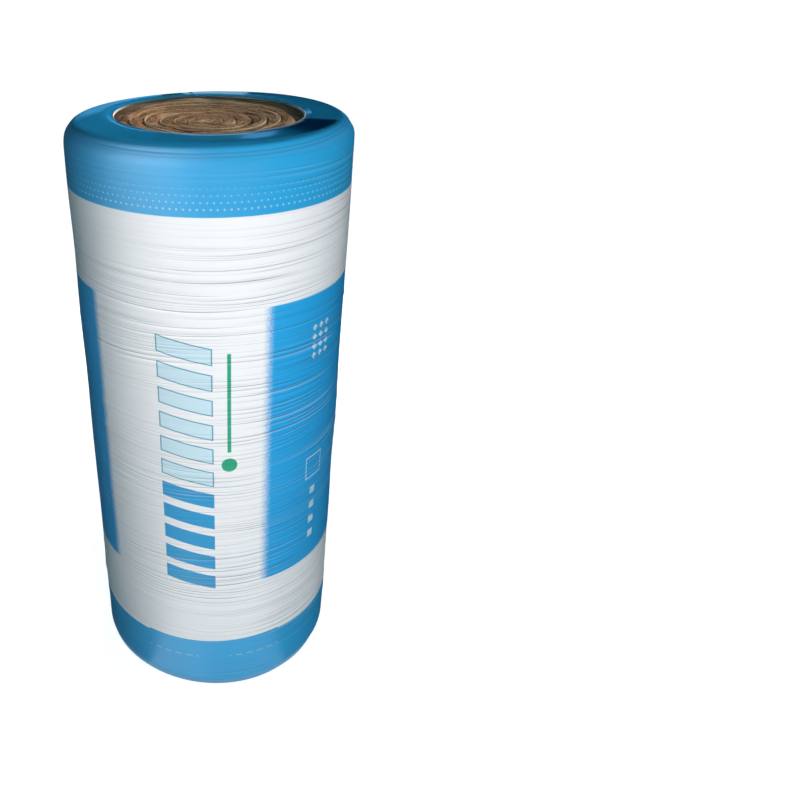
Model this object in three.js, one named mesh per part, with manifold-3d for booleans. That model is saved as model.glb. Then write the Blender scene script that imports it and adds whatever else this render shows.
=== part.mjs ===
// A wrapped insulation roll, standing on its end.
// A glass-wool mat is wound on itself into a coil with no core, and one sheet of printed plastic film
// holds it: the film goes round the side, turns over both rounded ends and leaves a round mouth in each.
// Millimetres, +Z up. The origin is the middle of the lower end, on the floor, and +Z is the coil's axis.

import * as THREE from 'three';
import { mergeVertices } from 'three/addons/utils/BufferGeometryUtils.js';
import Module from 'manifold-3d';

const wasm = await Module();
wasm.setup();

// The coil
const matWidth = 1200; // the mat's width is the height of the standing coil
const coilRadius = 262;
const turnThickness = 26; // the mat as it is squeezed in the coil
const hubRadius = 13; // the mat's first fold, solid to the middle
const shoulderRadius = 34; // rounding between the side and each end
const dishDepth = 14; // how far the middle of an end lies below its rim
const grooveDepth = 8; // valley between two turns on an end
const grooveWidth = 7;

// The film
const mouthRadius = 170; // round opening that the film leaves in each end
const lipOverhang = 15; // the film's lip follows the dished part of the end this far
const filmThickness = 0.12;
const filmClearance = 0.4; // between the coil and the film

// How finely the round shapes are cut
const segmentsRound = 48;
const shoulderSegments = 6;
const dishSegments = 3;
const groovePiecesPerTurn = 24;

const fullTurn = 2 * Math.PI;
const faceRadius = coilRadius - shoulderRadius; // where an end stops being level
const dishRadius = mouthRadius + lipOverhang;
const coilBottom = filmClearance + filmThickness; // the film stands on the floor
const coilTop = coilBottom + matWidth;
const lipRadii = [mouthRadius, dishRadius];

// Depth of an end below its rim, at a radius: a bowl that is flat in the middle and steepest at its edge.
function dishAt(radius) {
  return dishDepth * Math.max(0, 1 - (radius / dishRadius) ** 3);
}

// Half the outline of a skin that lies the given distance outside the coil: through the given radii on the
// dished part of an end, then out over the shoulder to the side. Heights are counted outwards from the rim.
function endOutline(distance, dishRadii) {
  const outline = dishRadii.map((radius) => new THREE.Vector2(radius, distance - dishAt(radius)));
  const shoulder = new THREE.Path();
  shoulder.absarc(faceRadius, -shoulderRadius, shoulderRadius + distance, Math.PI / 2, 0, true);
  outline.push(...shoulder.getPoints(shoulderSegments / 2));
  return outline;
}

// The whole outline, from the lower end up the side to the upper end.
function skinOutline(distance, dishRadii) {
  const half = endOutline(distance, dishRadii);
  const lower = half.map(({ x, y }) => new THREE.Vector2(x, coilBottom - y));
  const upper = half.map(({ x, y }) => new THREE.Vector2(x, coilTop + y));
  return [...lower, ...upper.toReversed()];
}

// A closed outline, or one that starts and ends on the axis, turned round the axis.
function turned(outline) {
  return new THREE.LatheGeometry(outline, segmentsRound).rotateX(Math.PI / 2);
}

function solidFrom(geometry) {
  const bare = geometry.clone();
  bare.deleteAttribute('normal');
  bare.deleteAttribute('uv');
  const merged = mergeVertices(bare, 1e-3);
  return new wasm.Manifold(
    new wasm.Mesh({
      numProp: 3,
      vertProperties: Float32Array.from(merged.attributes.position.array),
      triVerts: Uint32Array.from(merged.index.array),
    }),
  );
}

function geometryFrom(solid) {
  const { vertProperties, triVerts } = solid.getMesh();
  const geometry = new THREE.BufferGeometry();
  geometry.setAttribute('position', new THREE.BufferAttribute(vertProperties, 3));
  geometry.setIndex(new THREE.BufferAttribute(triVerts, 1));
  geometry.computeVertexNormals();
  return geometry;
}

// The line between two turns where it comes out on an end: one turn further out in each round.
class TurnLine extends THREE.Curve {
  constructor(isUpper) {
    super();
    this.isUpper = isUpper;
  }

  getPoint(t, target = new THREE.Vector3()) {
    const radius = THREE.MathUtils.lerp(hubRadius, faceRadius, t);
    const angle = fullTurn * (radius / turnThickness);
    const height = this.isUpper ? coilTop - dishAt(radius) : coilBottom + dishAt(radius);
    return target.set(radius * Math.cos(angle), radius * Math.sin(angle), height);
  }
}

// The groove that follows a turn line: a V that opens outwards from the end.
function turnGroove(isUpper) {
  const inwards = isUpper ? 1 : -1; // a section's x points down along the line
  const clear = grooveDepth / 2; // the cutter stands this far out of the end
  const halfOpening = (grooveWidth / 2) * ((grooveDepth + clear) / grooveDepth);
  const section = new THREE.Shape([
    new THREE.Vector2(inwards * grooveDepth, 0),
    new THREE.Vector2(-inwards * clear, halfOpening),
    new THREE.Vector2(-inwards * clear, -halfOpening),
  ]);
  const turns = (faceRadius - hubRadius) / turnThickness;
  return new THREE.ExtrudeGeometry(section, {
    extrudePath: new TurnLine(isUpper),
    steps: Math.round(turns * groovePiecesPerTurn),
  });
}

// The wound mat: one turned solid with a spiral groove between its turns on both ends.
function woolCoil() {
  const dishRadii = [...lipRadii];
  for (let i = dishSegments - 1; i >= 0; i--) {
    dishRadii.unshift(mouthRadius * (i / dishSegments));
  }
  let coil = solidFrom(turned(skinOutline(0, dishRadii)));
  for (const isUpper of [true, false]) {
    coil = coil.subtract(solidFrom(turnGroove(isUpper)));
  }
  return geometryFrom(coil);
}

// The film: an outer and an inner skin that meet at the two mouths.
function filmWrap() {
  const outer = skinOutline(filmClearance + filmThickness, lipRadii);
  const inner = skinOutline(filmClearance, lipRadii);
  return turned([...outer, ...inner.toReversed(), outer[0]]);
}

const glassWool = new THREE.MeshStandardMaterial({ color: 0x846446, roughness: 0.95, metalness: 0 });
const printedFilm = new THREE.MeshStandardMaterial({ color: 0xe4e8ee, roughness: 0.3, metalness: 0 });

const roll = new THREE.Group();
const coil = new THREE.Mesh(woolCoil(), glassWool);
coil.name = 'wool_coil';
const film = new THREE.Mesh(filmWrap(), printedFilm);
film.name = 'film_wrap';
roll.add(coil, film);

export default roll;
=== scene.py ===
# Looks of a wrapped insulation roll that stands on its end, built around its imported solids.
# Metres, +Z up, the origin in the middle of the lower end.

import math

import bmesh
import bpy
import numpy as np
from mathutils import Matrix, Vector


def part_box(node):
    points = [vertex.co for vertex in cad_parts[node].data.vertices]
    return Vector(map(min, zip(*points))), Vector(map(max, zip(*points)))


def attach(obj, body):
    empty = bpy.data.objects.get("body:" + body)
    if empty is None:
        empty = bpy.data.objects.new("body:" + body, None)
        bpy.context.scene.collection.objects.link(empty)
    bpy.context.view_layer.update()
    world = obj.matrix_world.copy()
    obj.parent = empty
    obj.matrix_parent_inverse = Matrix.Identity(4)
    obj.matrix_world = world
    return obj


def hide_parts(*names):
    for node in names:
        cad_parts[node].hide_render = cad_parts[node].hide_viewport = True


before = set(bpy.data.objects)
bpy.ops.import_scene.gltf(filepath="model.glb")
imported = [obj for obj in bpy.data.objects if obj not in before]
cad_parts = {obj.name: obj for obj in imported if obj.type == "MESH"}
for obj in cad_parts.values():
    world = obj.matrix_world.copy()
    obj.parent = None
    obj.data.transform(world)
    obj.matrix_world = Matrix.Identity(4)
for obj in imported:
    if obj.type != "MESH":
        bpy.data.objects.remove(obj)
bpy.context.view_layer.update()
mm = 0.001
fullTurn = 2 * math.pi
print("frame loaded:", list(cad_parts))

# Sizes that the coil and its film share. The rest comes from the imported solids' boxes.
roll = {
    "turnThickness": 26 * mm,
    "hubRadius": 13 * mm,
    "shoulderRadius": 34 * mm,
    "mouthRadius": 170 * mm,
    "lipOverhang": 15 * mm,
    "dishDepth": 14 * mm,
    "filmGap": 0.4 * mm,
    "filmThickness": 0.12 * mm,
    # The upper rim falls outwards on its far side
    "rimDrop": 5.8 * mm,
    "rimDropAngle": math.radians(150),
    "rimDropFrom": 40 * mm,  # before the shoulder's start
    "rimDropFull": 25 * mm,  # past it
    "rimDropEnd": 70 * mm,
    "lipRows": 12,
    "bendRows": 48,
    "seed": 11,
}
coilLow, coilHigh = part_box("wool_coil")
coilRadius, coilTop, coilBottom = coilHigh[0], coilHigh[2], coilLow[2]
faceRadius = coilRadius - roll["shoulderRadius"]
dishRadius = roll["mouthRadius"] + roll["lipOverhang"]
endLength = faceRadius - roll["mouthRadius"]


# Depth of an end below its rim, at a radius.
def dishAt(radius):
    return roll["dishDepth"] * np.maximum(0, 1 - (radius / dishRadius) ** 3)


# 1 on one side of the roll, falling to the least share on the opposite side.
def sidedShare(angles, middle, least):
    return least + (1 - least) * (0.5 + 0.5 * np.cos(angles - middle)) ** 2


# 0 before the start and 1 past the end, straight between them.
def ramp(values, start, end):
    return np.clip((values - start) / (end - start), 0, 1)


# A straight line, given by its start and its slope, at some values.
def onLine(line, values):
    return line[0] + line[1] * values


# How far the upper rim falls, by the length past the shoulder's start.
def rimDrop(angles, pastEnd):
    rise = np.clip(1 + pastEnd / roll["rimDropFrom"], 0, 1) ** 1.3
    fall = ramp(pastEnd, roll["rimDropEnd"], roll["rimDropFull"])
    return roll["rimDrop"] * sidedShare(angles, roll["rimDropAngle"], 0) * rise * fall**2 * (3 - 2 * fall)


# Points from radii, angles round from +X and heights.
def roundPoints(radii, angles, heights):
    return np.stack([radii * np.cos(angles), radii * np.sin(angles), heights], -1)


def addObject(name, data):
    made = bpy.data.objects.new(name, data)
    bpy.context.scene.collection.objects.link(made)
    return made


def meshObject(name, points, faces, smooth=True):
    mesh = bpy.data.meshes.new(name)
    mesh.from_pydata(np.reshape(points, (-1, 3)).tolist(), [], [tuple(face) for face in faces])
    mesh.update()
    if smooth:
        mesh.shade_smooth()
    return addObject(name, mesh)


# Three values for every point, for the materials to read.
def addPointValues(made, name, values):
    layer = made.data.attributes.new(name, "FLOAT_VECTOR", "POINT")
    layer.data.foreach_set("vector", values.astype(np.float32).ravel())


# Turns all faces outwards, joins points that lie within a distance, and counts the edges left open.
def closeMesh(made, within=0):
    mesh = bmesh.new()
    mesh.from_mesh(made.data)
    if within:
        bmesh.ops.remove_doubles(mesh, verts=mesh.verts, dist=within)
    bmesh.ops.recalc_face_normals(mesh, faces=mesh.faces)
    mesh.to_mesh(made.data)
    openEdges = sum(len(edge.link_faces) != 2 for edge in mesh.edges)
    mesh.free()
    return openEdges


# Faces between neighbouring rows of a grid whose columns run round and close.
def ringFaces(rows, columns, first=0):
    row, column = np.meshgrid(np.arange(rows - 1), np.arange(columns), indexing="ij")
    start = first + row * columns
    here, side = start + column, start + (column + 1) % columns
    return np.stack([here, side, side + columns, here + columns], -1).reshape(-1, 4)


# Smooth random waves round the roll, one row of values each, about -1 to 1.
def wavesRound(random, angles, rows, slowest, fastest):
    counts = np.arange(slowest, fastest + 1)
    strengths = random.normal(size=(rows, len(counts))) / np.sqrt(len(counts) / 2)
    phases = random.uniform(0, fullTurn, size=(rows, len(counts)))
    waves = np.sin(counts[None, :, None] * angles + phases[:, :, None])
    return np.einsum("rk,rkc->rc", strengths, waves) / 1.6


# Gives an object a new material and returns its empty tree.
def addMaterial(made, name):
    material = bpy.data.materials.new(name)
    material.use_nodes = True
    material.node_tree.nodes.clear()
    made.data.materials.append(material)
    return material.node_tree


def isSocket(value):
    return isinstance(value, bpy.types.NodeSocket)


# Adds a node, to the tree of the first socket given unless one is named, and returns its outputs. Inputs are
# sockets to link or constants to set, by name or number. Options set the node's properties.
def addNode(kind, inputs, tree=None, **options):
    tree = tree or next(value.id_data for value in inputs.values() if isSocket(value))
    node = tree.nodes.new("ShaderNode" + kind)
    for key, value in options.items():
        setattr(node, key, value)
    for key, value in inputs.items():
        if isSocket(value):
            tree.links.new(value, node.inputs[key])
        else:
            node.inputs[key].default_value = value
    return node.outputs


def calc(operation, *values, clamp=False):
    return addNode("Math", dict(enumerate(values)), operation=operation, use_clamp=clamp)[0]


def minus(value, less, clamp=False):
    return calc("SUBTRACT", value, less, clamp=clamp)


def times(product, *others):
    for other in others:
        product = calc("MULTIPLY", product, other)
    return product


# 0 below the first edge and 1 above the second, or the other way round, and smooth between them.
def fade(value, start, end):
    inputs = {"Value": value, "From Min": start, "From Max": end}
    return addNode("MapRange", inputs, interpolation_type="SMOOTHSTEP")[0]


def blendColor(factor, first, second, how="MIX"):
    inputs = {0: factor, 6: first, 7: second}
    return addNode("Mix", inputs, data_type="RGBA", blend_type=how, clamp_factor=True)[2]


def noise(vector, scale, detail=2, roughness=0.5):
    inputs = {"Vector": vector, "Scale": scale, "Detail": detail, "Roughness": roughness}
    return addNode("TexNoise", inputs, noise_dimensions="3D")[0]


def stretched(vector, x, y, z):
    return addNode("VectorMath", {0: vector, 1: (x, y, z)}, operation="MULTIPLY")[0]


def lengthOf(vector):
    return addNode("VectorMath", {0: vector}, operation="LENGTH")["Value"]


def parts(vector):
    return addNode("SeparateXYZ", {0: vector})


def objectPlace(tree):
    return addNode("TexCoord", {}, tree)["Object"]


def pointValues(tree, name):
    return addNode("Attribute", {}, tree, attribute_name=name)["Vector"]


# Lays colours over a first one: for each a mask, and its name among the colours given.
def layered(color, colors, *layers):
    for mask, name in layers:
        color = blendColor(mask, color, colors[name])
    return color


# Adds the shader that a material shows.
def show(kind, inputs, tree=None):
    addNode("OutputMaterial", {"Surface": addNode(kind, inputs, tree)[0]})


# A colour as it is picked from a screen, 0 to 255, as linear light.
def paint(red, green, blue):
    linear = [c / 255 / 12.92 if c < 11 else ((c / 255 + 0.055) / 1.055) ** 2.4 for c in (red, green, blue)]
    return (*linear, 1)


def paints(**colors):
    return {name: paint(*color) for name, color in colors.items()}


cameraSet = {
    "place": (0, -1.5229, 1.4866),
    "downTilt": math.radians(30.15),
    "turn": math.radians(-1.71),
    "lens": 36.56,
    "shiftX": 0.207,
}


def makeCamera():
    data = bpy.data.cameras.new("camera")
    data.lens = cameraSet["lens"]
    data.sensor_width = 36
    data.shift_x = cameraSet["shiftX"]
    camera = addObject("camera", data)
    camera.location = cameraSet["place"]
    camera.rotation_euler = (math.pi / 2 - cameraSet["downTilt"], 0, cameraSet["turn"])
    bpy.context.scene.camera = camera


makeCamera()
print("camera set")


studio = {
    "floorSize": 40,
    "floorColor": (0.36, 0.4, 0.42, 1),
    # Light that the camera sees in the floor beside what it reflects: less by the roll, to keep its shadow
    "floorLifts": (0.88, 1),
    "floorReach": (0.3, 1.5),
    "skyColor": (0.34, 0.83, 1, 1),
    "skyLevel": 0.18,
    "cardColumns": 49,
}
# The lamps show in no reflection: the pale cards below do
lamps = {
    "middle": {"place": (0.12, -1.5, 1.15), "aim": (0, 0, 1), "size": (0.5, 0.4), "power": 7.9},
    "low": {"place": (0.14, -1.6, 0.35), "aim": (0, 0, 0.4), "size": (0.6, 0.5), "power": 1},
    "far": {"place": (0.5, -2.6, 1), "aim": (0, 0, 0.7), "size": (0.3, 0.3), "power": 8},
    "right": {"place": (0.6, -1.4, 0.84), "aim": (0, 0, 0.68), "size": (0.4, 1.4), "power": 4.8},
    "top": {
        "place": (2.1, 0.44, 2.45),
        "aim": (0, 0, 1.39),
        "size": (0.35, 0.35),
        "power": 0.88,
        "spread": 15,
    },
    "rear": {"place": (0.1, 2.2, 0.65), "aim": (0, 0, 0.65), "size": (0.8, 1), "power": 26},
}
# Cards stand round the roll out of sight and show only as reflections in its glossy film
# Angles round from +X in degrees, then radius and height at every edge, then the light it shows
cards = {
    "dark": {
        "angles": (-180, 180),
        "edges": ((0.272, 0.001), (4, 0.001), (4, 5), (0.1, 5)),
        "glow": (0, 0, 0),
    },
    "nearLeft": {"angles": (-130, -95), "edges": ((0.275, 0.002), (0.75, 0.002)), "glow": (2, 2, 2)},
    "nearRight": {"angles": (-95, -50), "edges": ((0.275, 0.002), (0.75, 0.002)), "glow": (1.3, 1.3, 1.3)},
    "wallLeft": {"angles": (-167, -137), "edges": ((3.85, 0.002), (3.85, 4.8)), "glow": (4.4, 4.4, 4.4)},
    "wallFront": {"angles": (-137, -108), "edges": ((3.85, 0.002), (3.85, 4.8)), "glow": (5.2, 5.2, 5.2)},
    "rearBlue": {"angles": (83.8, 86.8), "edges": ((3.8, 1.98), (3.8, 2.11)), "glow": (0.35, 1.15, 2.2)},
    "rearPale": {"angles": (86.3, 92.6), "edges": ((3.8, 0.6), (3.8, 1.78)), "glow": (0.3, 0.62, 0.9)},
    "rimBehind": {
        "angles": (77.8, 97.6),
        "edges": ((0.36, 1.206), (0.36, 1.302)),
        "glow": (0.34, 0.62, 0.86),
    },
    "rearLeft": {"angles": (94.8, 112), "edges": ((3.8, 0.6), (3.8, 1.7)), "glow": (0.08, 0.4, 0.8)},
}


def seenDirectly(tree):
    path = addNode("LightPath", {}, tree)
    both = calc("ADD", path["Is Camera Ray"], path["Is Glossy Ray"])
    return calc("ADD", both, path["Is Transmission Ray"], clamp=True)


def makeFloor():
    half = studio["floorSize"] / 2
    corners = half * np.array([(-1, -1, 0), (1, -1, 0), (1, 1, 0), (-1, 1, 0)])
    floor = meshObject("floor", corners, [(0, 1, 2, 3)], smooth=False)
    tree = addMaterial(floor, "studioFloor")
    surface = addNode("BsdfDiffuse", {"Color": studio["floorColor"]}, tree)
    far = fade(lengthOf(objectPlace(tree)), *studio["floorReach"])
    near, whole = studio["floorLifts"]
    lift = times(seenDirectly(tree), calc("MULTIPLY_ADD", far, whole - near, near))
    glow = addNode("Emission", {"Strength": lift})
    show("AddShader", {0: surface[0], 1: glow[0]})


# A strip round the roll between two angles, through a list of radius and height pairs.
def roundStrip(start, end, profile):
    angles = np.radians(np.linspace(start, end, studio["cardColumns"]))
    rows = [roundPoints(radius, angles, height + 0 * angles) for radius, height in profile]
    grid = ringFaces(len(rows), len(angles)).reshape(len(rows) - 1, -1, 4)[:, :-1]
    return rows, grid.reshape(-1, 4)


# A card that shows only in reflections and takes no part in the light itself.
def makeCard(name, angles, edges, glow):
    card = meshObject(name, *roundStrip(*angles, edges), smooth=False)
    show("Emission", {"Color": (*glow, 1)}, addMaterial(card, name))
    for ray in ("camera", "diffuse", "shadow", "transmission"):
        setattr(card, "visible_" + ray, False)


def makeWorld():
    world = bpy.data.worlds.new("studio")
    bpy.context.scene.world = world
    world.use_nodes = True
    tree = world.node_tree
    tree.nodes.clear()
    sky = addNode("Background", {"Color": studio["skyColor"], "Strength": studio["skyLevel"]}, tree)
    white = addNode("Background", {"Color": (1, 1, 1, 1), "Strength": 1}, tree)
    mixed = addNode("MixShader", {0: seenDirectly(tree), 1: sky[0], 2: white[0]})
    addNode("OutputWorld", {"Surface": mixed[0]})


def makeLamp(name, place, aim, size, power, spread=180):
    data = bpy.data.lights.new(name, "AREA")
    data.shape = "RECTANGLE"
    data.size, data.size_y = size
    data.energy = power
    data.spread = math.radians(spread)
    lamp = addObject(name, data)
    lamp.location = place
    toAim = Vector(aim) - Vector(place)
    lamp.rotation_euler = toAim.to_track_quat("-Z", "Y").to_euler()
    lamp.visible_camera = False
    lamp.visible_glossy = False


bpy.context.scene.view_settings.view_transform = "Standard"
makeFloor()
for cardName, card in cards.items():
    makeCard(cardName, **card)
makeWorld()
for lampName, lamp in lamps.items():
    makeLamp(lampName, **lamp)
print("studio set")


# The printed film: an outer skin, a rolled hem at both mouths and a plain inner skin, as one closed shell
film = {
    "columns": 128,
    "gapShape": 2.6,  # the higher, the more even the creases lie
    "gapMean": 7 * mm,
    "gapLimits": (3.6 * mm, 15 * mm),
    "leastGap": 1.8 * mm,
    "halfWidth": 1.15 * mm,
    "gapShare": 0.34,  # the most of a gap that the half width beside it takes up
    "depth": 1.3 * mm,
    # The crease's painted shade: how much of it shows on its upper edge
    "creaseRim": 0.2,  # how much of its shade shows on its upper edge
    "bulge": 0.42 * mm,  # of the film between two creases
    "drift": 3 * mm,  # how far neighbouring creases wander together
    "driftWaves": (0.25, 0.7),
    "ownDrift": 0.7 * mm,
    "calmTop": 260 * mm,  # creases are faint near the ends
    "calmFoot": 130 * mm,
    "pullAngle": math.radians(-40),  # and deeper on the side that the film was pulled towards
    "pullLeast": 0.25,
    "strength": 1.6,
    # What else a crease's strength follows, each as a line: the region, its run, its own and the calm ends
    "byRegion": (0.7, 0.35),
    "regionWaves": (0.2, 0.6),
    "byRun": (0.7, 0.7),
    "byCrease": (0.15, 0.95),
    "creaseSpread": (1.2, 1.8),
    "byCalm": (0.3, 0.7),
    # The tight end runs on over the shoulder's start to a ridge, nearer the mouth on one side
    "ridgeHeight": 3.4 * mm,
    "ridgeAngle": math.radians(-60),  # where it stands highest
    "ridgeLeast": 0.12,
    "ridgePlace": 22 * mm,
    "ridgeNearer": 14 * mm,
    "ridgeSpan": math.radians(45),
    "ridgeWander": 0.6 * mm,
    "ridgeFall": 7 * mm,
    "ridgeRings": ((9.5 * mm, 0.38), (16 * mm, 0.3)),  # creases past the ridge: how far, and how strong
    # The ends' darker tone, partly the wool showing through the film and partly painted shade, stops over
    # this length: where the ridge stands high, and where it is low
    "toneSoft": (3 * mm, 9 * mm),
    "creasesFrom": 44 * mm,
    "glossEnd": 22 * mm,  # the tight, glossy ends turn into the creased side over this length
    # The pale lower edge of a crease is a painted highlight
    "paleEdge": (0.1, 1),  # how pale a crease's lower edge is, beside its depth
    "swell": 0.5 * mm,  # slow unevenness of the whole side
    "swellWaves": (0.15, 0.5),
    "puckers": 56,  # short folds that stand up between the creases
    "puckerHalfLengths": (22 * mm, 75 * mm),
    "puckerHalfHeights": (2.6 * mm, 5.5 * mm),
    "puckerRise": (0.4 * mm, 1.2 * mm),
    "endPlaces": ((1.6, 3, 5, 8, 11.5), 15.4),  # of the first rows and of the even ones, in millimetres
    "hemFollow": 9 * mm,  # how far they follow the hem's wander
    "hemRadius": 2.2 * mm,
    "hemWander": 0.9 * mm,
    "hemTurn": (75, 285),  # in degrees
    "hemRows": 8,
    "hemSink": 0.4,  # of its radius, below the film beside it
    # The inner skin: its first rows, how far it follows the side before it runs straight on, and how deep it
    # lies under the ends and further on the side, clear of the deepest crease
    "innerStarts": (4 * mm, 8 * mm),
    "innerRows": 18,
    "innerReach": 80 * mm,
    "innerUnder": 0.8 * mm,
    "underDeepening": 12 * mm,
    "innerDepth": 1.6 * mm,
    "innerDeepening": 50 * mm,
    "lapWidth": 90 * mm,
    "lapStep": 0.45 * mm,
    "lapRise": 0.35,  # the share of its width over which it rises
    "lapMiddle": math.pi / 2,
    "lapEdge": 1.2 * mm,
    "cutSize": (1.36, 1.74),  # from mouth to mouth over the side, and round the roll with the lap
}


# The outline of a skin laid over the coil at a distance, from the upper mouth to the lower: radius, height
# and length along it.
def wholeOutline(distance):
    lip = np.linspace(roll["mouthRadius"], dishRadius, roll["lipRows"])
    bend = np.linspace(0, math.pi / 2, roll["bendRows"])
    reach = roll["shoulderRadius"] + distance
    radii = np.concatenate([lip, faceRadius + reach * np.sin(bend), [coilRadius + distance]])
    rise = np.concatenate([distance - dishAt(lip), reach * np.cos(bend) - roll["shoulderRadius"]])
    rise = np.append(rise, (coilBottom - coilTop) / 2)
    radii = np.concatenate([radii, radii[-2::-1]])
    heights = np.concatenate([coilTop + rise, coilBottom - rise[-2::-1]])
    lengths = np.concatenate([[0], np.cumsum(np.hypot(np.diff(radii), np.diff(heights)))])
    return radii, heights, lengths


# Radii and heights at some lengths along the whole outline, lifted off it.
def liftedOutline(distance, places, lifts):
    radii, heights, lengths = wholeOutline(distance)
    ways = (radii, -np.gradient(heights, lengths)), (heights, np.gradient(radii, lengths))
    return [np.interp(places, lengths, line) + np.interp(places, lengths, up) * lifts for line, up in ways]


# A slow random unevenness over the film, about -1 to 1, by angle round it and length along it.
def slowField(random, angles, lengths, turns, waveLengths):
    field = np.zeros(np.broadcast_shapes(angles.shape, lengths.shape))
    for count in turns:
        for sign in (-1, 1):
            wave = random.uniform(*waveLengths) * sign
            field += np.sin(count * angles + fullTurn * lengths / wave + random.uniform(0, fullTurn))
    return field / math.sqrt(len(turns))


def filmColumns():
    even = fullTurn * np.arange(film["columns"]) / film["columns"]
    edge = film["lapMiddle"] + film["lapWidth"] / 2 / coilRadius
    halfEdge = film["lapEdge"] / 2 / coilRadius
    even = even[np.abs(even - edge) > 2 * halfEdge]
    return np.sort([*even, edge - halfEdge, edge + halfEdge])


# How far the overlapping layer lifts the film: at once at its edge, and slowly where it ends underneath.
def lapLift(angles):
    around = (angles - film["lapMiddle"]) * coilRadius / film["lapWidth"]
    return film["lapStep"] * (around < 0.5) * np.clip((around + 0.5) / film["lapRise"], 0, 1)


# Creases run round the film, wander, come near each other and fade in and out.
def makeCreases(random, angles, start, end):
    places = [start]
    while places[-1] < end:
        gap = random.gamma(film["gapShape"], film["gapMean"] / film["gapShape"])
        places.append(places[-1] + np.clip(gap, *film["gapLimits"]))
    places = np.array(places[:-1])[:, None]
    calm = np.clip(np.minimum((places - start) / film["calmTop"], (end - places) / film["calmFoot"]), 0, 1)
    drift = slowField(random, angles, places, (1, 2, 3), film["driftWaves"]) * film["drift"]
    drift += wavesRound(random, angles, len(places), 1, 7) * film["ownDrift"]
    centres = places + drift * calm
    for i in range(1, len(centres)):
        centres[i] = np.maximum(centres[i], centres[i - 1] + film["leastGap"])
    region = slowField(random, angles, places, (1, 2, 3), film["regionWaves"])
    region = np.clip(onLine(film["byRegion"], region), 0.3, 1)
    runs = np.clip(onLine(film["byRun"], wavesRound(random, angles, len(places), 1, 5)), 0, 1)
    own = onLine(film["byCrease"], random.beta(*film["creaseSpread"], size=places.shape))
    pulled = sidedShare(angles, film["pullAngle"], film["pullLeast"]) * film["strength"]
    return centres, np.clip(region * runs * own * onLine(film["byCalm"], calm**2) * pulled, 0, 1)


# Where the ridge lies past the start of the shoulder, for every column.
def ridgePlaces(random, angles):
    aside = (angles + math.pi) % fullTurn - math.pi
    place = film["ridgePlace"] - film["ridgeNearer"] * np.exp(-((aside / film["ridgeSpan"]) ** 2))
    return place + wavesRound(random, angles, 1, 2, 6)[0] * film["ridgeWander"]


def ridgeLift(pastEnd, ridge, firm):
    height = film["ridgeHeight"] * (ridge / film["ridgePlace"]) ** 2 * firm
    rise = ramp(pastEnd, 0, ridge) ** 2
    return height * rise * np.exp(-((np.maximum(pastEnd - ridge, 0) / film["ridgeFall"]) ** 2))


# A row of the outer skin: its length from the upper mouth, its lift, and the strength of a crease's painted
# shade, of the painted highlight on its pale edge and of the end's darker tone, for every column.
def skinRow(place, lift=0, crease=0, pale=0, tone=0):
    return np.stack(np.broadcast_arrays(place, lift, crease, pale, tone))


# The three rows of a crease: above it, in it and below it.
def creaseRows(middle, above, below, power, pale, tone=0):
    upper = skinRow(middle - above, crease=film["creaseRim"] * power, tone=tone)
    lower = skinRow(middle + below, pale=pale, tone=tone)
    return [upper, skinRow(middle, -film["depth"] * power, power, tone=tone), lower]


# Rows from a mouth over the shoulder.
def endRows(ridge, firm, wander):
    first, evenFrom = film["endPlaces"]
    plain = np.concatenate([first, np.linspace(evenFrom, endLength / mm, 6)]) * mm
    follow = np.clip(1 - plain / film["hemFollow"], 0, 1)
    rows = [skinRow(place + near * wander, tone=1) for place, near in zip(plain, follow)]
    rows += [skinRow(endLength + share * ridge, tone=1) for share in (0.25, 0.5, 0.7, 0.85, 1)]
    firmSoft, lowSoft = film["toneSoft"]
    soft = firmSoft + (lowSoft - firmSoft) * (1 - firm)
    for past in (2 * mm, 4 * mm, 6 * mm):
        rows.append(skinRow(endLength + ridge + past, tone=np.exp(-((past / soft) ** 2))))
    for past, strength in film["ridgeRings"]:
        middle, power, tone = endLength + ridge + past, strength * firm, np.exp(-((past / soft) ** 2))
        rows += creaseRows(middle, film["halfWidth"], film["halfWidth"], power, 0.5 * power, tone)
    return rows


# All rows of the outer skin, from mouth to mouth.
def filmRows(random, angles, ridge, firm, wander, total):
    rows = endRows(ridge, firm, wander[1])
    start = endLength + film["creasesFrom"]
    centres, power = makeCreases(random, angles, start, total - start)
    pale = power * random.uniform(*film["paleEdge"], size=(len(power), 1))
    gaps = np.pad(np.diff(centres, axis=0), ((1, 1), (0, 0)), constant_values=10 * mm)
    for i, (centre, depth, before, after) in enumerate(zip(centres, power, gaps, gaps[1:])):
        above, below = (np.minimum(film["halfWidth"], film["gapShare"] * gap) for gap in (before, after))
        rows += creaseRows(centre, above, below, depth, pale[i])
        if i + 1 < len(centres):
            rise = film["bulge"] * (depth + power[i + 1]) * np.clip(after / film["gapMean"], 0, 1.4)
            rows.append(skinRow(centre + after / 2, rise))
    for row in endRows(ridge, firm, wander[0])[::-1]:
        row[0] = total - row[0]
        rows.append(row)
    return np.stack(rows, 1), len(centres)


# Short folds along the creases, at random places on the side.
def puckerLift(random, angles, lengths, start, end):
    lift = np.zeros(lengths.shape)
    for _ in range(film["puckers"]):
        middle, place = random.uniform(0, fullTurn), random.uniform(start, end)
        halfLength = random.uniform(*film["puckerHalfLengths"])
        halfHeight = random.uniform(*film["puckerHalfHeights"])
        aside = (np.abs((angles - middle + math.pi) % fullTurn - math.pi)) * coilRadius / halfLength
        shape = np.exp(-(aside**2) - ((lengths - place) / halfHeight) ** 2)
        lift += random.uniform(*film["puckerRise"]) * shape
    return lift


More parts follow.
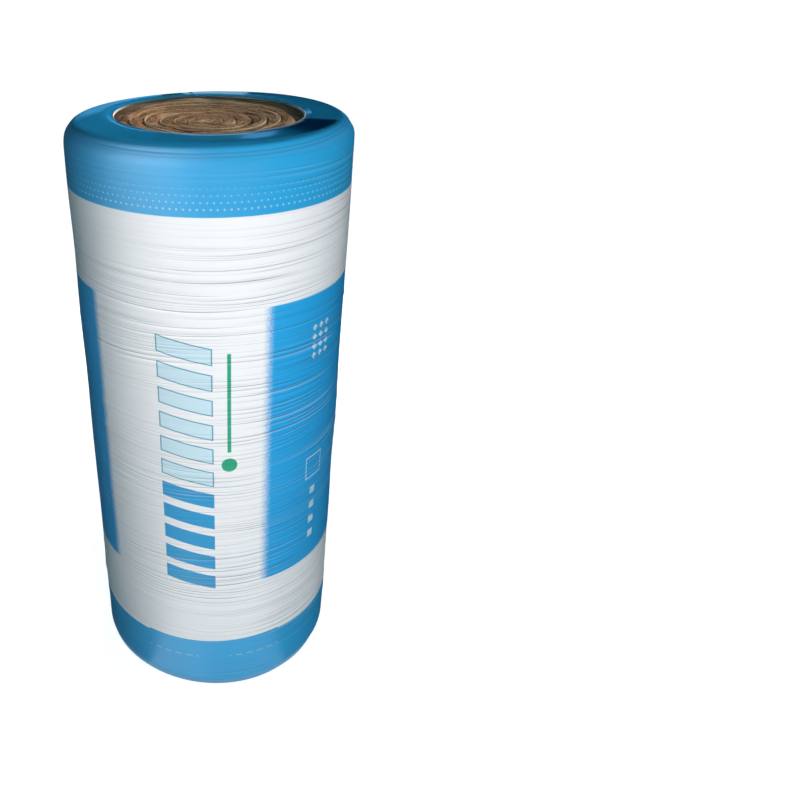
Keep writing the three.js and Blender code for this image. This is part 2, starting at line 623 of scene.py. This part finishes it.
# The inner skin, from the lower mouth to the upper: radii and heights of its rows.
def innerSkin(angles):
    distance = roll["filmGap"] / 2
    total = wholeOutline(distance)[2][-1]
    places = np.linspace(film["innerStarts"][1], endLength + film["innerReach"], film["innerRows"])
    places = np.concatenate([film["innerStarts"][:1], places])
    places = np.concatenate([places, total - places[::-1]])[::-1, None]
    fromMouth = np.minimum(places, total - places)
    depth = ramp(fromMouth - endLength, 0, film["innerDeepening"]) * film["innerDepth"]
    depth = depth + ramp(fromMouth, 0, film["underDeepening"]) * film["innerUnder"]
    depth = depth + rimDrop(angles, fromMouth - endLength) * (places < total / 2)
    return liftedOutline(distance, places, -depth)


def makeFilm():
    random = np.random.default_rng(roll["seed"])
    angles = filmColumns()
    offWool = roll["filmGap"] + roll["filmThickness"]
    total = wholeOutline(offWool)[2][-1]
    wander = wavesRound(random, angles, 2, 2, 9) * film["hemWander"]
    ridge = ridgePlaces(random, angles)
    firm = sidedShare(angles, film["ridgeAngle"], film["ridgeLeast"])
    (places, lifts, *marks), creaseCount = filmRows(random, angles, ridge, firm, wander, total)
    pastEnd = np.minimum(places, total - places) - endLength
    onSide = ramp(pastEnd, 0, film["glossEnd"])
    swell = slowField(random, angles, places, (1, 2, 3, 4), film["swellWaves"]) * film["swell"]
    start, end = endLength + film["calmTop"], total - endLength - film["calmFoot"]
    lifts = lifts + swell * onSide + puckerLift(random, angles, places, start, end)
    drop = rimDrop(angles, pastEnd) * (places < total / 2)
    lifts += lapLift(angles) + ridgeLift(pastEnd, ridge, firm) - drop
    outerR, outerZ = liftedOutline(offWool, places, lifts)
    # The hem rolls round a small circle, then the inner skin runs under the ends and down the side
    roundHem = np.radians(np.linspace(*film["hemTurn"], film["hemRows"]))[:, None]
    hemMiddle = roll["mouthRadius"] + film["hemRadius"]
    hemHeight = offWool - dishAt(hemMiddle) - film["hemRadius"] * film["hemSink"]
    hemR = hemMiddle + film["hemRadius"] * np.cos(roundHem)
    hemZ = hemHeight + film["hemRadius"] * np.sin(roundHem) + 0 * angles
    innerR, innerZ = innerSkin(angles)
    rowsR = np.concatenate([outerR, hemR + wander[0], innerR, (hemR + wander[1])[::-1]])
    rowsZ = np.concatenate([np.maximum(outerZ, 0), coilBottom - hemZ, innerZ, coilTop + hemZ[::-1]])
    faces = ringFaces(len(rowsR) + 1, len(angles))[:, ::-1] % rowsR.size
    made = meshObject("film", roundPoints(rowsR, angles, rowsZ), faces)
    values = np.zeros((5, *rowsR.shape))
    values[:4, : len(places)] = *marks, 1 - onSide
    crease, pale, tone, ends, hem = values
    hem[len(places) : len(places) + film["hemRows"]] = hem[-film["hemRows"] :] = 1
    addPointValues(made, "filmMarks", np.stack([crease, ends, hem], -1))
    addPointValues(made, "filmTones", np.stack([pale, tone, 0 * tone], -1))
    print("film:", len(faces) * 2, "triangles,", creaseCount, "creases")
    return made


# Where the print lies: heights from the roll's foot, and widths from the middle of a panel or of the white
# between two panels. The whole print repeats after half a turn.
layout = {
    "topBandEdge": 1088.8 * mm,
    "footBandEdge": 147.7 * mm,
    "footBandRise": 4 * mm,
    "footRiseHalf": 149 * mm,
    "footRiseSoft": 6 * mm,
    "footRiseShift": 64 * mm,
    "panelHeights": (309 * mm, 926 * mm),
    "panelMiddle": math.radians(-15.55),
    "panelHalf": 239.5 * mm,
    "panelFade": 13 * mm,
    "panelRagged": 18.2 * mm,
    "panelGrain": (260, 260, 520),
    "soft": 0.8 * mm,
}
# Plain marks: a ladder of slanted bars and a green rule on the white, squares and diamonds on the panel,
# dots on the top band and dashes on the foot band
motifs = {
    "line": 2.4 * mm,
    "ladder": {
        "sides": (-32 * mm, 70 * mm),
        "bottom": 318 * mm,
        "steps": 11,
        "pitch": 52 * mm,
        "bar": 34 * mm,
        "slant": 0.22,
        "solid": 5,  # bars from below that are filled, the rest are outlined
        "solidSoft": 1 * mm,
    },
    "rule": {"sides": (96 * mm, 103 * mm), "heights": (640 * mm, 846 * mm)},
    "disc": {"side": 99.5 * mm, "height": 612 * mm, "radius": 15 * mm},
    "squares": {"side": -112 * mm, "bottom": 352 * mm, "half": 8.5 * mm, "pitch": 38 * mm, "rows": 4},
    "box": {"height": 546 * mm, "half": 26 * mm},
    "diamonds": {
        "left": -141 * mm,
        "bottom": 792 * mm,
        "pitch": 19 * mm,
        "half": 7 * mm,
        "columns": 3,
        "rows": 4,
    },
    "dots": {
        "bottom": 1096 * mm,
        "pitch": 11 * mm,
        "rows": 4,
        "radius": 1.9 * mm,
        "shrink": 0.22,  # of the radius from row to row
        "soft": 0.4 * mm,
    },
    "dashes": {
        "heights": (102.7 * mm, 105.3 * mm),
        "reach": (34 * mm, 150 * mm),
        "pitch": 24 * mm,
        "share": 0.6,
    },
}
# Painted dark reflections on the upper rim, laid on as darker patches of the ink: angles round from +X and
# their softness in degrees, and radii
rimTones = {
    "navy": {"angles": (-51, -19), "soft": (13, 3), "radii": (170 * mm, 236 * mm), "tone": paint(8, 62, 108)},
    "rear": {"angles": (109, 118), "soft": (4, 4), "radii": (196 * mm, 228 * mm), "tone": paint(14, 90, 140)},
}
rimTop = {"heights": (coilTop - 12 * mm, coilTop - 6 * mm), "soft": 5 * mm}
inks = paints(
    white=(253, 250, 251),
    band=(46, 169, 226),
    panel=(40, 170, 234),
    bar=(24, 158, 214),
    barLine=(64, 150, 176),
    barPale=(212, 236, 246),
    green=(28, 172, 128),
    pale=(206, 232, 244),
    hem=(208, 200, 200),
    hemBehind=(84, 96, 100),
    creaseShade=(70, 82, 98),
    stretched=(236, 247, 252),
    overWool=(224, 230, 229),
)


# How much of some inks and shades shows, and how rough and uneven the film is
filmLook = {
    "faintMarks": 0.45,
    # The strength of the painted highlight on the creases' lower edges
    "stretched": 0.3,
    "hemBehind": (20 * mm, 100 * mm),
    "fineGrain": (9, 9, 420),
    "slowScale": 9,
    "fineBump": {"Strength": 0.45, "Distance": 0.45 * mm},
    "slowBump": {"Strength": 0.3, "Distance": 6 * mm},
    "sideRough": (0.38, 0.52),
    "endRough": 0.13,
}


# A coordinate that grows round the roll from one of two opposite places, in metres, folded to half a turn.
def foldedRound(angle, middle):
    moved = calc("ADD", angle, math.pi * 2.5 - middle)
    return times(minus(calc("MODULO", moved, math.pi), math.pi / 2), coilRadius)


# 1 above an edge of a coordinate.
def over(value, edge, soft=layout["soft"]):
    return fade(value, edge - soft, edge + soft)


# 1 below an edge of a coordinate.
def under(value, edge, soft=layout["soft"]):
    return fade(value, edge + soft, edge - soft)


def between(value, low, high, lowSoft=layout["soft"], highSoft=layout["soft"]):
    return times(over(value, low, lowSoft), under(value, high, highSoft))


def awayFrom(value, middle):
    return calc("ABSOLUTE", minus(value, middle))


def planeDistance(across, up):
    return calc("SQRT", calc("MULTIPLY_ADD", across, across, times(up, up)))


# The bands at both ends. The foot's upper edge is a little higher before the middle of the white.
def bandMask(height, fromWhite):
    fromRise = awayFrom(fromWhite, layout["footRiseShift"])
    raised = under(fromRise, layout["footRiseHalf"], layout["footRiseSoft"])
    footHeight = minus(height, times(raised, layout["footBandRise"]))
    return calc("MAXIMUM", over(height, layout["topBandEdge"]), under(footHeight, layout["footBandEdge"]))


# The panels, which fade out sideways in fine dots and streaks.
def panelMask(place, height, fromPanel):
    dots = noise(stretched(place, *layout["panelGrain"]), 1, 1)
    ragged = times(minus(dots, 0.5), layout["panelRagged"])
    edge = minus(minus(layout["panelHalf"], calc("ABSOLUTE", fromPanel)), ragged)
    return times(over(edge, 0, layout["panelFade"]), between(height, *layout["panelHeights"]))


# The ladder on the white: filled bars below, outlined bars above.
def paintLadder(color, height, fromWhite):
    ladder, line = motifs["ladder"], motifs["line"]
    (left, right), pitch, bar = ladder["sides"], ladder["pitch"], ladder["bar"]
    above = minus(calc("MULTIPLY_ADD", fromWhite, ladder["slant"], height), ladder["bottom"])
    step = calc("MODULO", above, pitch)
    reach = between(above, 0, ladder["steps"] * pitch)
    outer = times(between(fromWhite, left, right), between(step, 0, bar), reach)
    inner = times(between(fromWhite, left + line, right - line), between(step, line, bar - line), reach)
    solidTop = ladder["solid"] * pitch
    solid = fade(above, solidTop, solidTop - ladder["solidSoft"])
    outlined = blendColor(minus(outer, inner, clamp=True), inks["barPale"], inks["barLine"])
    return blendColor(outer, color, blendColor(solid, outlined, inks["bar"]))


# A green rule with a disc below it.
def ruleMask(height, fromWhite):
    rule, disc = motifs["rule"], motifs["disc"]
    bar = times(between(fromWhite, *rule["sides"]), between(height, *rule["heights"]))
    away = planeDistance(minus(fromWhite, disc["side"]), minus(height, disc["height"]))
    return calc("MAXIMUM", bar, under(away, disc["radius"]))


# Where a coordinate lies in its cell, from the cell's middle, when cells of one pitch follow a start.
def inCell(value, start, pitch):
    cells = calc("DIVIDE", minus(value, start), pitch)
    return times(minus(calc("FRACT", cells), 0.5), pitch)


# 1 over a number of cells that follow a start.
def cellReach(value, start, pitch, count):
    return between(value, start, start + count * pitch)


# Small squares in a column with a larger outlined one above them, pale on the panel.
def squareMask(height, fromPanel):
    squares, box = motifs["squares"], motifs["box"]
    half, bottom, pitch = squares["half"], squares["bottom"], squares["pitch"]
    away = awayFrom(fromPanel, squares["side"])
    inRow = between(inCell(height, bottom, pitch), -half, half)
    column = times(inRow, between(away, -half, half), cellReach(height, bottom, pitch, squares["rows"]))
    fromBox = calc("MAXIMUM", away, awayFrom(height, box["height"]))
    return calc("MAXIMUM", column, between(fromBox, box["half"] - motifs["line"], box["half"]))


# A block of small diamonds high on the panel.
def diamondMask(height, fromPanel):
    block = motifs["diamonds"]
    pitch, left, bottom = block["pitch"], block["left"], block["bottom"]
    aside = calc("ABSOLUTE", inCell(fromPanel, left, pitch))
    rise = calc("ABSOLUTE", inCell(height, bottom, pitch))
    diamond = under(calc("ADD", aside, rise), block["half"])
    columns = cellReach(fromPanel, left, pitch, block["columns"])
    return times(diamond, columns, cellReach(height, bottom, pitch, block["rows"]))


# Rows of dots on the top band that shrink upwards.
def dotMask(height, fromWhite):
    dots = motifs["dots"]
    pitch, bottom, radius = dots["pitch"], dots["bottom"], dots["radius"]
    row = calc("FLOOR", calc("DIVIDE", minus(height, bottom), pitch))
    shifted = calc("MULTIPLY_ADD", row, pitch / 2, fromWhite)
    away = planeDistance(inCell(shifted, 0, pitch), inCell(height, bottom, pitch))
    edge = calc("MULTIPLY_ADD", row, -dots["shrink"] * radius, radius)
    return times(over(minus(edge, away), 0, dots["soft"]), cellReach(height, bottom, pitch, dots["rows"]))


# A broken line on the foot band, on both sides of the middle of the raised edge.
def dashMask(height, fromWhite):
    dashes = motifs["dashes"]
    away = awayFrom(fromWhite, layout["footRiseShift"])
    dash = between(calc("MODULO", away, dashes["pitch"]), 0, dashes["pitch"] * dashes["share"])
    return times(dash, between(away, *dashes["reach"]), between(height, *dashes["heights"]))


# Lays the painted dark reflections over the upper rim as darker ink.
def paintRimTones(color, angle, place, height):
    radius = lengthOf(stretched(place, 1, 1, 0))
    onRim = fade(height, *rimTop["heights"])
    for tone in rimTones.values():
        around = between(angle, *map(math.radians, tone["angles"] + tone["soft"]))
        across = between(radius, *tone["radii"], rimTop["soft"], rimTop["soft"])
        color = blendColor(times(around, across, onRim), color, tone["tone"])
    return color


# A value from 0 to 1 as one from the low to the high.
def spread(value, low, high):
    return addNode("MapRange", {"Value": value, "To Min": low, "To Max": high})[0]


def paintFilm(made):
    tree = addMaterial(made, "printedFilm")
    place = objectPlace(tree)
    placeX, placeY, height = parts(place)
    angle = calc("ARCTAN2", placeY, placeX)
    fromPanel = foldedRound(angle, layout["panelMiddle"])
    fromWhite = foldedRound(angle, layout["panelMiddle"] - math.pi / 2)
    panels, bands = panelMask(place, height, fromPanel), bandMask(height, fromWhite)
    color = layered(inks["white"], inks, (panels, "panel"), (bands, "band"))
    color = paintRimTones(color, angle, place, height)
    color = paintLadder(color, height, fromWhite)
    marks = calc("MAXIMUM", squareMask(height, fromPanel), diamondMask(height, fromPanel))
    faint = calc("MAXIMUM", dotMask(height, fromWhite), dashMask(height, fromWhite))
    faint = times(faint, filmLook["faintMarks"])
    color = layered(color, inks, (ruleMask(height, fromWhite), "green"), (marks, "pale"), (faint, "pale"))
    crease, ends, hem = parts(pointValues(tree, "filmMarks"))
    pale, tone, _ = parts(pointValues(tree, "filmTones"))
    # Painted shade darkens the film along every crease.
    color = blendColor(crease, color, inks["creaseShade"], "MULTIPLY")
    # A painted highlight pales the lower edge of the creases.
    color = blendColor(times(pale, filmLook["stretched"]), color, inks["stretched"])
    # The ends are darker: partly the wool showing through the thin film, partly painted shade of the dimly
    # lit ends.
    color = blendColor(tone, color, inks["overWool"], "MULTIPLY")
    # Painted shadow darkens the hem on its far side.
    hemColor = blendColor(fade(placeY, *filmLook["hemBehind"]), inks["hem"], inks["hemBehind"])
    fine = noise(stretched(place, *filmLook["fineGrain"]), 1, 3, 0.6)
    slow = noise(place, filmLook["slowScale"])
    bump = addNode("Bump", {"Height": fine, **filmLook["fineBump"]})[0]
    bump = addNode("Bump", {"Height": slow, **filmLook["slowBump"], "Normal": bump})[0]
    inputs = {
        "Base Color": blendColor(hem, color, hemColor),
        "Roughness": spread(ends, spread(fine, *filmLook["sideRough"]), filmLook["endRough"]),
        "Normal": bump,
        "IOR": 1.5,
    }
    show("BsdfPrincipled", inputs)


filmPiece = makeFilm()
paintFilm(filmPiece)
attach(filmPiece, "root")
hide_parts("film_wrap")


# The wound wool: both ends follow the spiral of its mat, turn by turn
wool = {
    "columns": 252,
    # Places across a turn: its inner edge in the valley, its face, its skin's crest, the next valley
    "turnRows": (0, 0.05, 0.12, 0.21, 0.3, 0.4, 0.5, 0.6, 0.69, 0.77, 0.84, 0.89, 0.93, 0.965),
    "valleyDepth": 6.5 * mm,
    "valleyWidth": 0.055,
    "skinPlace": 0.905,
    "skinWidth": 0.06,
    "skinHeight": 3.2 * mm,
    "crown": 0.9 * mm,
    "grain": 0.3 * mm,
    "streaks": 0.75 * mm,
    "tufts": 0.6 * mm,
    "slow": 0.8 * mm,
    # How often these four, and how close the turns lie, are drawn out along the mat and across it
    "passes": ((4, 0), (36, 0), (24, 4), (500, 30), (160, 60)),
    "closeness": (0.85, 0.4),
    "closenessLimits": (0.25, 1.6),
    "wander": 1.5 * mm,  # of the turns from an even spiral
    "wanderWaves": ((1, 90 * mm), (2, -190 * mm), (3, 140 * mm)),  # waves round, and their length outwards
    "wanderCalm": (30 * mm, 20 * mm),  # over these lengths by the hub and by the film
    "sunkInMouth": 5.5 * mm,  # below the film's lip, so that a shadow shows under the lip
    "sunkLine": (0.25, 0.75),  # its share from the middle to the mouth
    "leastDepth": 0.8 * mm,
    "raisedShare": 0.75,  # how much less it is sunk on one side
    "raisedAngle": math.radians(100),
    "sunkUnderFilm": 3 * mm,
    "filmEdge": (180 * mm, 198 * mm),
    # The outermost turns lie loose and lower, most of all on one side
    "loose": (146 * mm, 160 * mm),
    "looseDepth": 1.8 * mm,
    "looseSag": 6.5 * mm,
    "looseAngle": math.radians(5),
    "calmValley": 0.6,  # how much weaker their valleys and skins are
    "calmSkin": 0.85,
    # Painted light on the outermost turn behind, and painted shade beside the film on one side: radii, then
    # reaches along Y and X
    "paleTurn": (148 * mm, 156 * mm),
    "paleTurnBehind": (40 * mm, 130 * mm),
    "paleTurnTone": 0.8,
    "shade": (141 * mm, 160 * mm),
    "shadeLess": 12 * mm,  # how much further out it starts behind
    "shadeBehind": (50 * mm, 130 * mm),
    "shadeAside": (0, -60 * mm),
    "shadeTone": 0.78,
    "hubEdge": (roll["hubRadius"] * 1.25, roll["hubRadius"] * 0.95),
    "hubTone": 0.85,
    "hubSoft": 5 * mm,
    "hubLift": 5 * mm,
    "hubAside": -7 * mm,  # of the raised, pale core from the axis
    "shoulderRows": 6,
}
rowsPerTurn = len(wool["turnRows"])
turnCount = math.ceil(faceRadius / roll["turnThickness"] + 1)


# Random values on the rows of the wound mat, drawn out along it: they follow the spiral without a break.
def streaksAlongMat(random, alongPasses, acrossPasses):
    strip = random.normal(size=(rowsPerTurn, turnCount * wool["columns"]))
    for axis, passes in ((1, alongPasses), (0, acrossPasses)):
        for _ in range(passes):
            strip = (np.roll(strip, 1, axis) + strip + np.roll(strip, -1, axis)) / 3
    strip /= strip.std()
    byTurn = strip.reshape(rowsPerTurn, turnCount, wool["columns"]).transpose(1, 0, 2)
    return byTurn.reshape(-1, wool["columns"])


# How deep the wool of an end lies below its rim, at each point of its spiral grid.
def woolDepth(random, radius, angles, across):
    underFilm = ramp(radius, *wool["filmEdge"])
    fromValley = np.minimum(across, 1 - across)
    pastHub = ramp(radius, roll["hubRadius"], roll["hubRadius"] + wool["hubSoft"])
    loose = ramp(radius, *wool["loose"])
    valley = np.exp(-((fromValley / wool["valleyWidth"]) ** 2)) * pastHub * (1 - wool["calmValley"] * loose)
    skin = np.exp(-(((across - wool["skinPlace"]) / wool["skinWidth"]) ** 2)) * pastHub
    skin = skin * (1 - wool["calmSkin"] * loose)
    fields = [streaksAlongMat(random, *passes) for passes in wool["passes"]]
    grain, streaks, tufts, slow, closeness = fields
    closeness = np.clip(onLine(wool["closeness"], closeness), *wool["closenessLimits"])
    fromHub = np.hypot(radius * np.cos(angles) - wool["hubAside"], radius * np.sin(angles))
    hub = np.exp(-((fromHub / roll["hubRadius"]) ** 4))
    lift = np.sin(math.pi * across) * wool["crown"] + skin * wool["skinHeight"] * closeness
    lift += streaks * wool["streaks"] + grain * wool["grain"] + tufts * wool["tufts"]
    lift += slow * wool["slow"] + hub * wool["hubLift"]
    sag = wool["looseSag"] * sidedShare(angles, wool["looseAngle"], 0)
    depth = wool["valleyDepth"] * valley * closeness - lift + loose * (wool["looseDepth"] + sag)
    sunk = wool["sunkInMouth"] * (1 - wool["raisedShare"] * sidedShare(angles, wool["raisedAngle"], 0))
    depth += sunk * onLine(wool["sunkLine"], ramp(radius, 0, roll["mouthRadius"]) ** 2)
    depth = np.maximum(depth, wool["leastDepth"]) * (1 - underFilm) + wool["sunkUnderFilm"] * underFilm
    return dishAt(radius) + depth, valley, skin * closeness, streaks + tufts


# The grid of one turn after another: radius, angle, place across the turn and length along the mat.
def spiralGrid(random):
    columns, pitch = wool["columns"], roll["turnThickness"]
    grid = np.meshgrid(np.arange(turnCount), wool["turnRows"], np.arange(columns), indexing="ij")
    turn, across, column = (part.reshape(-1, columns) for part in grid)
    turnStart = turn + column / columns - 1
    angles = fullTurn * column / columns
    radius = (turnStart + across) * pitch
    hubRadius, filmFrom = roll["hubRadius"], wool["filmEdge"][0]
    calmIn, calmOut = wool["wanderCalm"]
    window = ramp(radius, hubRadius, hubRadius + calmIn) * ramp(radius, filmFrom, filmFrom - calmOut)
    for turns, wave in wool["wanderWaves"]:
        phase = random.uniform(0, fullTurn)
        radius = radius + wool["wander"] * window * np.sin(turns * angles + fullTurn * radius / wave + phase)
    radius = np.clip(radius, 0, faceRadius)
    alongMat = math.pi * pitch * (turnStart + 0.5) * np.abs(turnStart + 0.5)
    return radius, angles, across, alongMat


# One strip of faces along the spiral: a row's last column meets the row one turn further out.
def spiralFaces(rows, columns):
    row, side = np.meshgrid(np.arange(rows - 1), np.arange(columns), indexing="ij")
    further = rowsPerTurn * (side == columns - 1)
    corners = ((row, side), (row + 1, side), (row + 1 + further, side + 1), (row + further, side + 1))
    points = [np.minimum(y, rows - 1) * columns + x % columns for y, x in corners]
    return np.stack(points, -1).reshape(-1, 4)


# The shoulders and the side, which the film hides.
def hiddenRings(ringAngles):
    bend = np.linspace(0, math.pi / 2, wool["shoulderRows"] + 1)[:, None]
    lower = roll["shoulderRadius"] - wool["sunkUnderFilm"] + 0 * ringAngles + 0 * bend
    upper = lower - rimDrop(ringAngles, roll["shoulderRadius"] * bend)
    radii = faceRadius + np.concatenate([upper * np.sin(bend), (lower * np.sin(bend))[::-1]])
    highest = coilTop - roll["shoulderRadius"] + upper * np.cos(bend)
    lowest = coilBottom + roll["shoulderRadius"] - lower * np.cos(bend)
    heights = np.concatenate([highest, lowest[::-1]])
    return roundPoints(radii, ringAngles, heights)


def makeWool():
    random = np.random.default_rng(roll["seed"] + 1)
    radius, angles, across, alongMat = spiralGrid(random)
    (rows, columns), size = radius.shape, radius.size
    ends, endMarks = [], []
    for isUpper in (True, False):
        depth, *marks = woolDepth(random, radius, angles, across)
        height = coilTop - depth - rimDrop(angles, radius - faceRadius) if isUpper else coilBottom + depth
        ends.append(roundPoints(radius, angles, height).reshape(-1, 3))
        endMarks.append(np.stack(marks, -1).reshape(-1, 3))
    quads = spiralFaces(rows, columns)
    hidden = hiddenRings(angles[0])
    faces = np.concatenate([quads, quads[:, ::-1] + size, ringFaces(len(hidden), columns, 2 * size)[:, ::-1]])
    made = meshObject("wool", np.concatenate([*ends, hidden.reshape(-1, 3)]), faces)
    pad = np.zeros((len(hidden) * columns, 3))
    addPointValues(made, "woolMarks", np.concatenate([*endMarks, pad]))
    lay = np.stack([alongMat.ravel(), radius.ravel(), np.zeros(size)], -1)
    addPointValues(made, "matLay", np.concatenate([lay, lay + (0, 0, 1), pad]))
    # Rows that meet, at the middle and past the rim, become one
    openEdges = closeMesh(made, 0.01 * mm)
    print("wool:", len(made.data.polygons) * 2, "triangles at most,", openEdges, "open edges")
    return made, ends


# Loose fibres that stand out of the ends, as closed three-sided threads
fibre = {
    "countPerEnd": 1500,
    "sides": 3,
    "steps": 5,
    "thickness": 0.4 * mm,
    "tip": 0.35,  # of the thickness
    "taper": 6,  # the higher, the shorter its thin ends
    "lengths": (8 * mm, 26 * mm),
    "rise": (0.6 * mm, 3.2 * mm),
    "reach": 163 * mm,
    "spread": 0.7,  # of their direction from that of the mat, in radians
    "bow": 0.18,
    "tilt": (-0.6, 0.6),
    "sunk": 0.5 * mm,
    "overhang": 3 * mm,
    "middleChance": 6 * mm,  # the higher, the more stand near the middle
}


def makeFibres(surfaces):
    random = np.random.default_rng(roll["seed"] + 2)
    sides, steps, count = fibre["sides"], fibre["steps"], fibre["countPerEnd"]
    shape, size = (count, 1), sides * steps
    t = np.linspace(0, 1, steps)
    turn = fullTurn * np.arange(sides) / sides
    tube, cap = ringFaces(steps, sides), np.arange(sides)
    points, faces = [], []
    for surface, up in zip(surfaces, (1, -1)):
        radius = np.hypot(surface[:, 0], surface[:, 1])
        chance = np.where(radius < fibre["reach"], radius + fibre["middleChance"], 0)
        x, y, z = surface[random.choice(len(surface), count, p=chance / chance.sum())].T[..., None]
        along = np.arctan2(y, x) + math.pi / 2 + random.normal(0, fibre["spread"], shape)
        length = random.uniform(*fibre["lengths"], shape)
        rise = random.uniform(*fibre["rise"], shape)
        bow = random.normal(0, fibre["bow"], shape) * length
        ahead, aside = (t - 0.5) * length, bow * (4 * t * (1 - t))
        x = x + np.cos(along) * ahead - np.sin(along) * aside
        y = y + np.sin(along) * ahead + np.cos(along) * aside
        tilt = random.uniform(*fibre["tilt"], shape)
        z = z + up * (rise * (np.sin(math.pi * t) + tilt * (t - 0.5)) - fibre["sunk"])
        away = np.maximum(np.hypot(x, y) / (fibre["reach"] + fibre["overhang"]), 1)
        spine = np.stack([x / away, y / away, z], -1)
        across = np.stack([-np.sin(along), np.cos(along), 0 * along], -1)
        full = np.clip(np.minimum(t, 1 - t) * fibre["taper"], fibre["tip"], 1)[:, None]
        thin = fibre["thickness"] / 2 * full
        ring = [spine + thin * (across * math.cos(a) + np.array([0, 0, math.sin(a)])) for a in turn]
        starts = (len(points) * count + np.arange(count)[:, None]) * size
        points.append(np.stack(ring, 2).reshape(-1, 3))
        faces += (starts[..., None] + tube).reshape(-1, 4).tolist()
        faces += (starts + cap[::-1]).tolist() + (starts + cap + size - sides).tolist()
    made = meshObject("looseFibres", np.concatenate(points), faces)
    closeMesh(made)
    print("fibres:", 2 * count * (sides * (steps - 1) * 2 + 2), "triangles")
    return made


woolColors = paints(
    body=(179, 125, 88),
    dark=(121, 78, 50),
    pale=(218, 167, 125),
    skin=(252, 214, 172),
    hub=(250, 212, 174),
    valley=(36, 22, 15),
    fibre=(223, 188, 150),
    outerTurn=(236, 200, 158),
    underFilm=(58, 46, 40),
)


# How drawn out the wool's noises are along the mat, across it and down, their detail and their roughness
woolNoises = {
    "layers": ((45, 320, 40), 4, 0.7),
    "tufts": ((130, 130, 40), 3, 0.6),
    "fibres": ((420, 1400, 40), 3, 0.7),
}


# Shades of mineral wool: coarse layers, fine fibres and slow patches, from a place measured along the mat.
def makeWoolShades():
    group = bpy.data.node_groups.new("woolShades", "ShaderNodeTree")
    for name, way, kind in (
        ("Lay", "INPUT", "Vector"),
        ("Place", "INPUT", "Vector"),
        ("Color", "OUTPUT", "Color"),
        ("Fibres", "OUTPUT", "Float"),
    ):
        group.interface.new_socket(name, in_out=way, socket_type="NodeSocket" + kind)
    given = group.nodes.new("NodeGroupInput").outputs
    result = group.nodes.new("NodeGroupOutput")
    layers, tufts, fibres = (
        noise(stretched(given["Lay"], *drawn), 1, *grain) for drawn, *grain in woolNoises.values()
    )
    patches = noise(given["Place"], 22)
    color = layered(
        woolColors["dark"],
        woolColors,
        (fade(layers, 0.34, 0.62), "body"),
        (fade(tufts, 0.5, 0.66), "pale"),
        (times(fade(tufts, 0.46, 0.33), 0.8), "dark"),
        (fade(fibres, 0.55, 0.8), "pale"),
        (times(patches, 0.5), "body"),
    )
    group.links.new(color, result.inputs["Color"])
    group.links.new(fibres, result.inputs["Fibres"])
    return group


def paintWool(made, shades):
    tree = addMaterial(made, "glassWool")
    lay, place = pointValues(tree, "matLay"), objectPlace(tree)
    color, fibres = addNode("Group", {"Lay": lay, "Place": place}, node_tree=shades)
    valley, skin, relief = parts(pointValues(tree, "woolMarks"))
    placeX, placeY, _ = parts(place)
    radius, aside = parts(lay)["Y"], minus(placeX, wool["hubAside"])
    hub = fade(planeDistance(aside, placeY), *wool["hubEdge"])
    paleTurn = times(fade(radius, *wool["paleTurn"]), fade(placeY, *wool["paleTurnBehind"]))
    further = times(fade(placeY, *wool["shadeBehind"]), wool["shadeLess"])
    shade = fade(minus(radius, further), *wool["shade"])
    color = layered(
        color,
        woolColors,
        # Painted light on the raised fibres and painted shade between them
        (fade(relief, 0.4, 2.6), "pale"),
        (fade(relief, -0.4, -2.4), "dark"),
        (times(hub, wool["hubTone"]), "hub"),
        # Painted light on the outermost turn behind
        (times(paleTurn, wool["paleTurnTone"]), "outerTurn"),
        # Painted shade on the wool beside the film, on one side
        (times(shade, fade(aside, *wool["shadeAside"]), wool["shadeTone"]), "underFilm"),
        (times(skin, fade(noise(place, 55), 0.12, 0.42)), "skin"),
        # Painted shade in the valleys between the turns
        (fade(valley, 0.2, 0.85), "valley"),
    )
    bump = addNode("Bump", {"Height": fibres, "Strength": 0.8, "Distance": 1.2 * mm})[0]
    inputs = {"Base Color": color, "Roughness": 0.9, "Normal": bump, "Specular IOR Level": 0.2}
    show("BsdfPrincipled", inputs)


def paintFibres(made, shades):
    place = objectPlace(addMaterial(made, "glassFibre"))
    color, _ = addNode("Group", {"Lay": place, "Place": place}, node_tree=shades)
    color = blendColor(0.55, color, woolColors["fibre"])
    show("BsdfPrincipled", {"Base Color": color, "Roughness": 0.6})


woolShades = makeWoolShades()
woolPiece, woolEnds = makeWool()
paintWool(woolPiece, woolShades)
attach(woolPiece, "root")
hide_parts("wool_coil")
fibrePiece = makeFibres(woolEnds)
paintFibres(fibrePiece, woolShades)
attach(fibrePiece, "root")
print("wool made")
